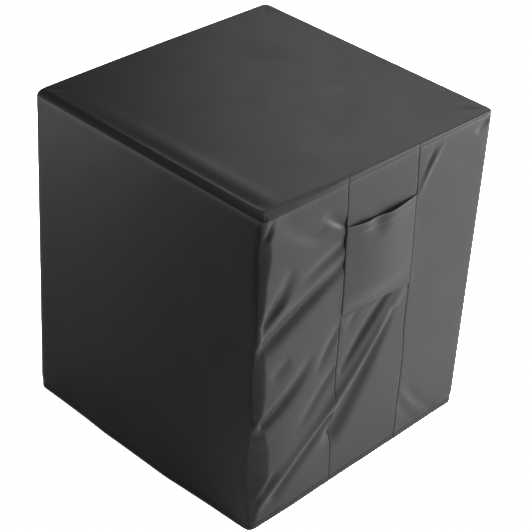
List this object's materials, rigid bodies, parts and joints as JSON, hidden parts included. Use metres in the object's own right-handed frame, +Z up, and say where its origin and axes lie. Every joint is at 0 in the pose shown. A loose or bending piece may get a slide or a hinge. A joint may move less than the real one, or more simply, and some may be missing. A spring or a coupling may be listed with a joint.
{
  "type": "fitted air conditioner cover",
  "caption": "Box-shaped weather cover of coated cloth for a square outdoor air conditioner, open at the hem, with a patch pocket on its front wall.",
  "frame": {"origin": "middle of the open hem, on the level of the hem", "axes": "+Z up from the hem to the top, -Y out of the front wall that carries the pocket, +X to the right of the front wall as seen from in front of it"},
  "size_m": [0.8266, 0.8376, 0.9163],
  "materials": {
    "coated_cloth": "near-black vinyl-coated polyester cloth, smooth, with a soft satin sheen"
  },
  "bodies": {
    "root": {"top_panel": "coated_cloth", "left_wall": "coated_cloth", "back_wall": "coated_cloth", "right_wall": "coated_cloth", "front_left_panel": "coated_cloth", "front_centre_strip": "coated_cloth", "front_right_panel": "coated_cloth", "front_pocket": "coated_cloth"}
  },
  "joints": []
}
